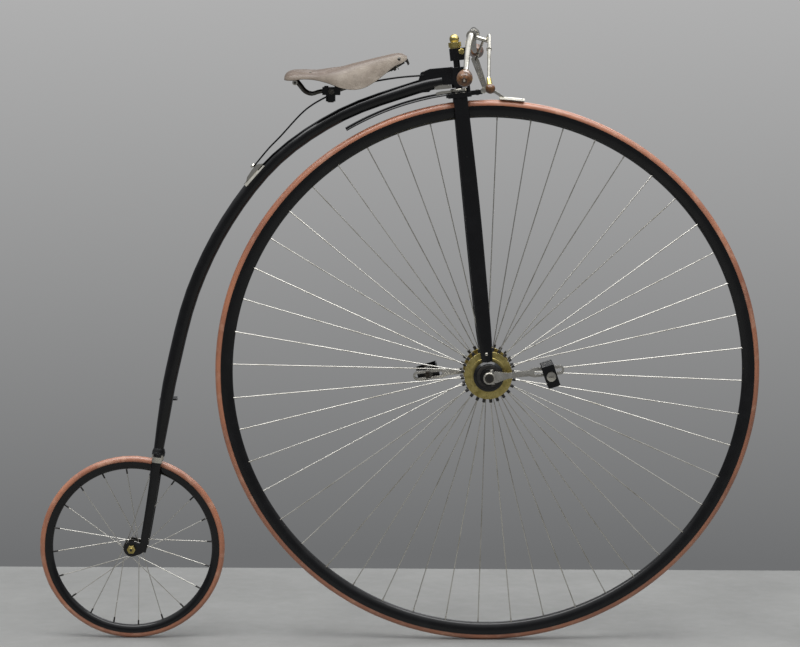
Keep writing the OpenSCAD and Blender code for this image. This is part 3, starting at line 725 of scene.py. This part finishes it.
class HIGHWHEEL_OT_bright(bpy.types.Operator):
    """Plated, brass and bare steel fittings"""

    bl_idname = "highwheel.bright"
    bl_label = "Bright fittings"

    def execute(self, context):
        for node in ("handlebar", "handlebar_lug", "spring_clip",
                     "brake_bracket", "brake_lever", "brake_spoon"):
            finished_node(node, ("nickel",), 0.5)
        for node in ("rear_axle", "adjusting_nut", "front_hub"):
            finished_node(node, ("brass",), 0.5)
        for node in ("crank_right", "crank_left", "brake_link"):
            finished_node(node, ("crank",), 0.8)
        for node in ("front_axle", "saddle_rails", "saddle_cantle", "saddle_nose_bolt", "rear_hub",
                     "pedal_pin_right", "pedal_pin_left", "pedal_right_barrel", "pedal_left_barrel"):
            finished_node(node, ("steel",), 0.5)
        return {"FINISHED"}


def wheel_rods(name, tree, count, first, centre, start, end, radius, finish, sides=10):
    return grown(name, tree, {
        "Count": count, "First angle": first, "Centre": centre, "From": start, "To": end, "Radius": radius,
        "Sides": sides, "Finish": material(finish)})


class HIGHWHEEL_OT_front_spokes(bpy.types.Operator):
    """Radial front spokes with their roots and nipples"""

    bl_idname = "highwheel.front_spokes"
    bl_label = "Front spokes"

    def execute(self, context):
        sizes = context.scene.highwheel_sizes
        tree = spoke_tree()
        half = sizes.front_spokes // 2
        at_flange, at_rim = Vector((58, 46, 0)) * MM, Vector((642, 5, 0)) * MM
        parts = []
        for side, first in ((-1, sizes.front_first), (1, sizes.front_first + math.pi / half)):
            start, end = (Vector((place.x, side * place.y, 0)) for place in (at_flange, at_rim))
            line = (end - start).normalized()
            for label, a, b, radius, finish, sides in (
                    ("wire", start, end, sizes.wire, "wire", 10),
                    ("head", start + line * 3 * MM, start + line * 11 * MM, 4.0 * MM, "black", 12),
                    ("nipple", end - line * 9 * MM, end - line * 1 * MM, 1.9 * MM, "wire", 8)):
                parts.append(wheel_rods(label, tree, half, first, FRONT_HUB, a, b, radius, finish, sides))
        obj = joined("front_spokes.drawn", parts)
        place_piece(obj, (), "front_wheel", ("front_spokes",))
        return {"FINISHED"}


class HIGHWHEEL_OT_rear_spokes(bpy.types.Operator):
    """Crossed rear spokes with their nipples"""

    bl_idname = "highwheel.rear_spokes"
    bl_label = "Rear spokes"

    def execute(self, context):
        sizes = context.scene.highwheel_sizes
        tree = spoke_tree()
        quarter = sizes.rear_spokes // 4
        step = 2 * math.pi / sizes.rear_spokes
        parts = []
        for k in range(4):
            side = 1 if k % 2 == 0 else -1
            lean = 1 if k in (0, 3) else -1
            start = Vector((2, side * (12.5 + 2 * lean), 18 * lean)) * MM
            end = Vector((202.5, side * 3, 0)) * MM
            line = (end - start).normalized()
            first = sizes.rear_first + k * step
            for label, a, b, radius, finish in (
                    ("wire", start, end, sizes.rear_wire, "wire"),
                    ("nipple", end - line * 14 * MM, end - line * 2 * MM, 2.1 * MM, "black")):
                parts.append(wheel_rods(label, tree, quarter, first, REAR_HUB, a, b, radius, finish))
        obj = joined("rear_spokes.drawn", parts)
        place_piece(obj, (), "rear_wheel", ("rear_spokes",))
        return {"FINISHED"}


class HIGHWHEEL_OT_tyres(bpy.types.Operator):
    """Solid red rubber tyres"""

    bl_idname = "highwheel.tyres"
    bl_label = "Tyres"

    def execute(self, context):
        tree = tyre_tree()
        for node, body, centre in (("front_tyre", "front_wheel", FRONT_HUB),
                                   ("rear_tyre", "rear_wheel", REAR_HUB)):
            low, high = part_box(node)
            section = (high.y - low.y) / 2
            obj = grown(node + ".moulded", tree, {
                "Centre": centre, "Radius": (high.x - low.x) / 2 - section, "Section": section,
                "Unevenness": context.scene.highwheel_sizes.unevenness, "Finish": material("red_rubber")})
            place_piece(obj, (), body, (node,))
        return {"FINISHED"}


class HIGHWHEEL_OT_rims(bpy.types.Operator):
    """Hollow crescent rims"""

    bl_idname = "highwheel.rims"
    bl_label = "Rims"

    def execute(self, context):
        for node, body, centre, depth in (("front_rim", "front_wheel", FRONT_HUB, 30),
                                          ("rear_rim", "rear_wheel", REAR_HUB, 19.5)):
            low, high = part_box(node)
            half, outer = (high.y - low.y) / 2 / MM, (high.x - low.x) / 2 / MM
            turns = [math.radians(a) for a in range(0, 181, 9)]
            shell = [(half * math.cos(a), outer - depth * math.sin(a) ** 0.8) for a in turns]
            lip = [(-half + 1.6, outer - 0.3), (-half * 0.55, outer - 4), (half * 0.55, outer - 4),
                   (half - 1.6, outer - 0.3)]
            obj = turned(node + ".rolled", shell + lip, centre, (0, 1, 0), 256)
            place_piece(obj, ("enamel",), body, (node,))
        return {"FINISHED"}


# Saddle stations from the cantle to the nose, in millimetres from the seat: along, half width, top, edge
SADDLE_LINE = [
    (-111, 46, -21, -31), (-105, 64, -13, -32), (-90, 74, -6.5, -32), (-62, 78, -5, -28.5),
    (-30, 70, -5.5, -31), (0, 54, -1, -39), (30, 40, 3, -50.5), (60, 32, 11, -54.5), (88, 28, 18, -49),
    (115, 25, 25, -33), (138, 23, 30.5, -15), (160, 20, 35.5, 3), (178, 15, 36, 11), (192, 8, 29, 20),
]
# The two dents where the rider sits: their depth, how far back and to each side, their length and width
DENT_DEPTH, DENT_BACK, DENT_ASIDE, DENT_LENGTH, DENT_WIDTH = 4.0, 55, 34, 40, 16


class HIGHWHEEL_OT_saddle(bpy.types.Operator):
    """Moulded hide saddle"""

    bl_idname = "highwheel.saddle"
    bl_label = "Leather saddle"

    def execute(self, context):
        across = 36
        fullness = 0.75
        bm = bmesh.new()
        rows = []
        for along, half, top, edge in spline(SADDLE_LINE, 5):
            row = []
            sit = math.exp(-((along + DENT_BACK) / DENT_LENGTH) ** 2)
            for k in range(across + 1):
                a = math.pi * k / across
                wide, tall = math.cos(a), math.sin(a)
                y = half * math.copysign(abs(wide) ** fullness, wide)
                z = edge + (top - edge) * tall ** fullness
                z -= DENT_DEPTH * sit * math.exp(-((abs(y) - DENT_ASIDE) / DENT_WIDTH) ** 2)
                row.append(bm.verts.new(Vector((along, y, z)) * MM))
            rows.append(row)
        for first, second in zip(rows, rows[1:]):
            for k in range(across):
                bm.faces.new((first[k], second[k], second[k + 1], first[k + 1]))
        bmesh.ops.recalc_face_normals(bm, faces=bm.faces)
        top_face = max(bm.faces, key=lambda f: f.calc_center_median().z)
        if top_face.normal.z < 0:
            bmesh.ops.reverse_faces(bm, faces=bm.faces)
        obj = mesh_object("saddle_leather.moulded", bm, 60)
        wall = obj.modifiers.new("hide_thickness", "SOLIDIFY")
        wall.thickness, wall.offset = 4.4 * MM, -1
        wall.material_offset, wall.material_offset_rim = 1, 1
        round_edges(obj, 1.2, 3)
        place_piece(obj, ("leather", "underside"), "frame", ("saddle_leather",))
        return {"FINISHED"}


class HIGHWHEEL_OT_grips(bpy.types.Operator):
    """Horn grips"""

    bl_idname = "highwheel.grips"
    bl_label = "Grips"

    def execute(self, context):
        for node in ("grip_right", "grip_left"):
            finished_node(node, ("horn",), 0.4)
        return {"FINISHED"}


# ---------------------------------------------------------------- small fittings
ALONG, OUT, UP = Vector((1, 0, 0)), Vector((0, 1, 0)), Vector((0, 0, 1))


def at(x, y, z):
    """A place given ahead of the front axle, out to the left and above the ground, in millimetres."""
    return Vector((FRONT_HUB.x, 0, GROUND)) + Vector((x, y, z)) * MM


def on_head(x, y, along):
    """A place in the steering frame: ahead of the steering axis, out, and along it from the front hub."""
    return FRONT_HUB + (HEAD_FRONT * x + OUT * y + HEAD_AXIS * along) * MM


def on_crank(side, along, up, out):
    """A place on the right (-1) or left (1) crank: along it from the hub, square to it, and out."""
    return FRONT_HUB + (CRANK_LINE * along * -side + CRANK_UP * up + OUT * out * side) * MM


def nut(radius, height):
    """Outline of a nut or bolt head, its corners eased."""
    return [(0, 0), (0, radius * 0.9), (height * 0.12, radius), (height * 0.88, radius),
            (height, radius * 0.88), (height, 0)]


def washer(inner, outer, width):
    """Outline of a ring, its outer corners eased."""
    half, edge = width / 2, min(0.5, width / 4)
    return [(-half, inner), (-half, outer - edge), (edge - half, outer), (half - edge, outer),
            (half, outer - edge), (half, inner)]


def tapered(length, start, end):
    """Outline of a plain ferrule."""
    return [(0, 0), (0, start), (length, end), (length, 0)]


def ball(radius):
    """Outline of a ball about its place, closed at both poles."""
    turns = [math.radians(a) for a in range(-80, 81, 10)]
    return [(-radius, 0), *((radius * math.sin(a), radius * math.cos(a)) for a in turns), (radius, 0)]


# The handlebar in the steering frame: its clamp, how it is turned there, and where a grip starts and points
BAR_CLAMP = Vector((49, 0, 844.5))
BAR_ROLL, BAR_YAW, GRIP_SPLAY = (math.radians(a) for a in (4.6, -5.2, 6))
GRIP_BACK, GRIP_OUT, GRIP_DROP = 14, 300, 71


def turned_fittings():
    """Every nut, washer, collar and cap, as body, finish, outline, place, axis and number of sides."""
    lever = Vector((-3, -66, -35))
    nose = Vector((34, 0, 21))
    bar_turn = Matrix.Rotation(BAR_ROLL, 3, "X") @ Matrix.Rotation(BAR_YAW, 3, "Z")
    head = Matrix((HEAD_FRONT, OUT, HEAD_AXIS)).transposed()
    fittings = [
        # Head, brake and handlebar
        ("fork", "nickel", washer(21, 22.6, 6), on_head(0, 0, 712), HEAD_AXIS, 48),
        ("fork", "steel", nut(7.5, 8), on_head(40, 0, 701.5), HEAD_FRONT, 6),
        ("fork", "nickel", nut(8, 3), at(-18.6, -15, 1391), -OUT, 6),
        ("fork", "brass", tapered(15, 8.5, 7), on_head(26, 0, 803), HEAD_FRONT + HEAD_AXIS, 32),
        ("fork", "brass", nut(7.5, 5), on_head(14, -15, 806), -OUT, 6),
        ("fork", "nickel", washer(3.8, 6.5, 4), at(-11.7, -139, 1494), lever, 32),
        ("fork", "brass", tapered(23, 5.8, 7), at(-15.9, -241, 1424.8), Vector((2.5, -18, -20)), 32),
        ("fork", "horn", ball(11.9), at(-13, -262, 1402), UP, 40),
        # Neck, saddle spring and clip
        ("frame", "nickel", nut(7, 6), at(-165, 0, 1429), Vector((-0.1, 0, 1)), 6),
        ("frame", "nickel", nut(6.5, 5.5), at(-588.5, 0, 1198.5), Vector((-0.755, 0, 0.656)), 6),
        # Saddle irons
        ("frame", "steel", nut(9, 7), at(-244, 0, 1443.7), nose, 6),
        ("frame", "nickel", washer(5, 11, 2), at(-234, 0, 1449.9), nose, 32),
        ("frame", "steel", nut(8, 3), at(-397, 0, 1358.5), UP, 6),
        # Rear fork and axle
        ("rear_wheel", "black", tapered(15, 5, 3.6), REAR_HUB + UP * 10 * MM, UP, 24),
    ]
    for side in (-1, 1):
        out = OUT * side
        grip = head @ (bar_turn @ (Matrix.Rotation(-GRIP_SPLAY * side, 3, "X") @ out))
        start = bar_turn @ Vector((-GRIP_BACK, GRIP_OUT * side, -GRIP_DROP))
        end = FRONT_HUB + (head @ (BAR_CLAMP + start)) * MM
        body = "right_pedal" if side < 0 else "left_pedal"
        fittings += [
            ("fork", "black", washer(4.6, 6.4, 1.6), end + grip * 40.6 * MM, grip, 32),
            ("fork", "nickel", nut(2.8, 2), end + grip * 40.5 * MM, grip, 24),
            ("fork", "black", washer(22, 30, 2), FRONT_HUB + out * 74.6 * MM, OUT, 48),
            ("frame", "steel", nut(8.5, 6), at(-395, 32 * side, 1387), out, 6),
            ("frame", "nickel", washer(3.2, 6.6, 2.4), at(-484, 50.5 * side, 1408), OUT, 32),
            ("frame", "steel", nut(3.4, 5), at(-484, 47 * side, 1408), out, 24),
            ("frame", "black", nut(3.4, 1.6), REAR_HUB + out * 41.5 * MM, out, 24),
            ("front_wheel", "nickel", washer(11.2, 14.4, 3), FRONT_HUB + out * 107.5 * MM, OUT, 48),
            ("front_wheel", "black", nut(7, 1.4), FRONT_HUB + out * 107.6 * MM, out, 32),
            ("front_wheel", "brass", washer(41, 45, 2.4), FRONT_HUB + out * 50.6 * MM, OUT, 64),
            ("front_wheel", "nickel", nut(4.6, 4), on_crank(side, 8, 17, 100), CRANK_UP, 24),
            ("front_wheel", "steel", nut(6, 5), on_crank(side, 8, -16, 100), -CRANK_UP, 6),
            (body, "nickel", nut(11.4, 2.6), on_crank(side, CRANK_THROW, 0, 196.4), out, 32),
        ]
    return fittings


def cut_fittings():
    """Every plate and band, as body, finish, outline, place, its two drawing directions and thickness."""
    oval = [(13.6 * math.cos(a), 8.4 * math.sin(a)) for a in (math.radians(15 * k) for k in range(24))]
    leg = Vector((4, 0, 29)).normalized()
    fittings = [
        ("frame", "nickel",
         [(-62, 720), (-56, 718.2), (-19, 718.2), (-19, 726), (-34, 728), (-50, 728), (-61, 724)],
         FRONT_HUB, HEAD_FRONT, HEAD_AXIS, 30),
        ("fork", "nickel", [(-60, 707), (-52, 706.5), (-20, 708), (-20, 713), (-46, 713), (-58, 711)],
         FRONT_HUB, HEAD_FRONT, HEAD_AXIS, 22),
        ("frame", "steel",
         [(-218, 1470), (-207, 1468), (-202, 1455), (-206, 1451), (-210, 1459), (-219, 1462)],
         at(0, 0, 0), ALONG, UP, 14),
        ("fork", "brass", [(22, 786), (29, 786), (33, 800), (24, 806)],
         FRONT_HUB, HEAD_FRONT, HEAD_AXIS, 20),
    ]
    for side in (-1, 1):
        fittings.append(("frame", "nickel", oval, at(-828.5, 25 * side, 464.5), leg.cross(OUT), OUT, 20))
        body = "right_pedal" if side < 0 else "left_pedal"
        # The slot across the pedal's dust cap is a thin dark plate laid on it: painted shade for the recess
        slot_shade_plate = [(-6, -0.8), (6, -0.8), (6, 0.8), (-6, 0.8)]
        fittings.append((body, "black", slot_shade_plate, on_crank(side, CRANK_THROW, 0, 199), ALONG, UP, 0.5))
    return fittings


def domed_fittings():
    """Every domed head, as body, finish, place, facing, radius and height in millimetres."""
    heads = [("frame", "nickel", at(-165, 0, 1435.5), UP, 5, 2.5)]
    for side in (-1, 1):
        heads += [
            ("frame", "black", at(-229, 15.4 * side, 1468), Vector((0.1, side, 0.45)), 4.8, 1.2),
            ("frame", "steel", at(-229, 16.2 * side, 1468.4), Vector((0.1, side, 0.45)), 3.2, 1.2),
            ("frame", "steel", at(-446, 60.2 * side, 1433.2), Vector((0, 0.62 * side, 0.78)), 3.2, 1.2),
            ("frame", "steel", at(-395, 38 * side, 1387), OUT * side, 4.5, 2),
            ("fork", "nickel", on_head(0, 71.5 * side, 56), OUT * side, 4, 1.6),
            ("fork", "steel", on_head(-9, 44 * side, 705.6), HEAD_AXIS, 5, 2),
            ("fork", "steel", on_head(9, 44 * side, 705.6), HEAD_AXIS, 5, 2),
        ]
    return heads


class HIGHWHEEL_OT_fittings(bpy.types.Operator):
    """Nuts, washers, collars, plates and rivets"""

    bl_idname = "highwheel.fittings"
    bl_label = "Small fittings"

    def execute(self, context):
        groups = {}
        for body, finish, outline, place, axis, sides in turned_fittings():
            obj = turned("fitting", outline, place, axis, sides)
            groups.setdefault((body, finish), []).append(obj)
        for body, finish, outline, place, across, up, thick in cut_fittings():
            obj = cut_plate("fitting", outline, place, across, up, thick)
            groups.setdefault((body, finish), []).append(obj)
        tree = stud_tree()
        for body, finish, place, facing, radius, height in domed_fittings():
            obj = grown("head", tree, {
                "Place": place, "Facing": facing.normalized(), "Radius": radius * MM, "Height": height * MM,
                "Finish": material(finish)})
            groups.setdefault((body, finish), []).append(obj)
        for (body, finish), objects in groups.items():
            for obj in objects:
                obj.data.materials.clear()
                obj.data.materials.append(material(finish))
            piece = joined(body + "_" + finish + "_fittings", objects)
            place_piece(piece, (), body)
        return {"FINISHED"}


class HIGHWHEEL_PT_panel(bpy.types.Panel):
    """Every step of the finished bicycle"""

    bl_idname = "HIGHWHEEL_PT_panel"
    bl_label = "High-wheel bicycle"
    bl_space_type = "VIEW_3D"
    bl_region_type = "UI"
    bl_category = "High wheel"

    def draw(self, context):
        for step in STEPS:
            self.layout.operator(step.bl_idname)
        for group in (context.scene.highwheel_sizes, context.scene.highwheel_colours):
            for name in group.bl_rna.properties.keys():
                if name not in ("rna_type", "name"):
                    self.layout.prop(group, name)


STEPS = (
    HIGHWHEEL_OT_stage, HIGHWHEEL_OT_enamel, HIGHWHEEL_OT_bright, HIGHWHEEL_OT_front_spokes,
    HIGHWHEEL_OT_rear_spokes, HIGHWHEEL_OT_tyres, HIGHWHEEL_OT_rims, HIGHWHEEL_OT_saddle, HIGHWHEEL_OT_grips,
    HIGHWHEEL_OT_fittings,
)
CLASSES = (HighwheelColours, HighwheelSizes, *STEPS, HIGHWHEEL_PT_panel)


def register():
    for item in CLASSES:
        bpy.utils.register_class(item)
    bpy.types.Scene.highwheel_colours = bpy.props.PointerProperty(type=HighwheelColours)
    bpy.types.Scene.highwheel_sizes = bpy.props.PointerProperty(type=HighwheelSizes)


def unregister():
    del bpy.types.Scene.highwheel_sizes
    del bpy.types.Scene.highwheel_colours
    for item in reversed(CLASSES):
        bpy.utils.unregister_class(item)


def main():
    register()
    for step in STEPS:
        group, name = step.bl_idname.split(".")
        getattr(getattr(bpy.ops, group), name)()


if __name__ == "__main__":
    main()
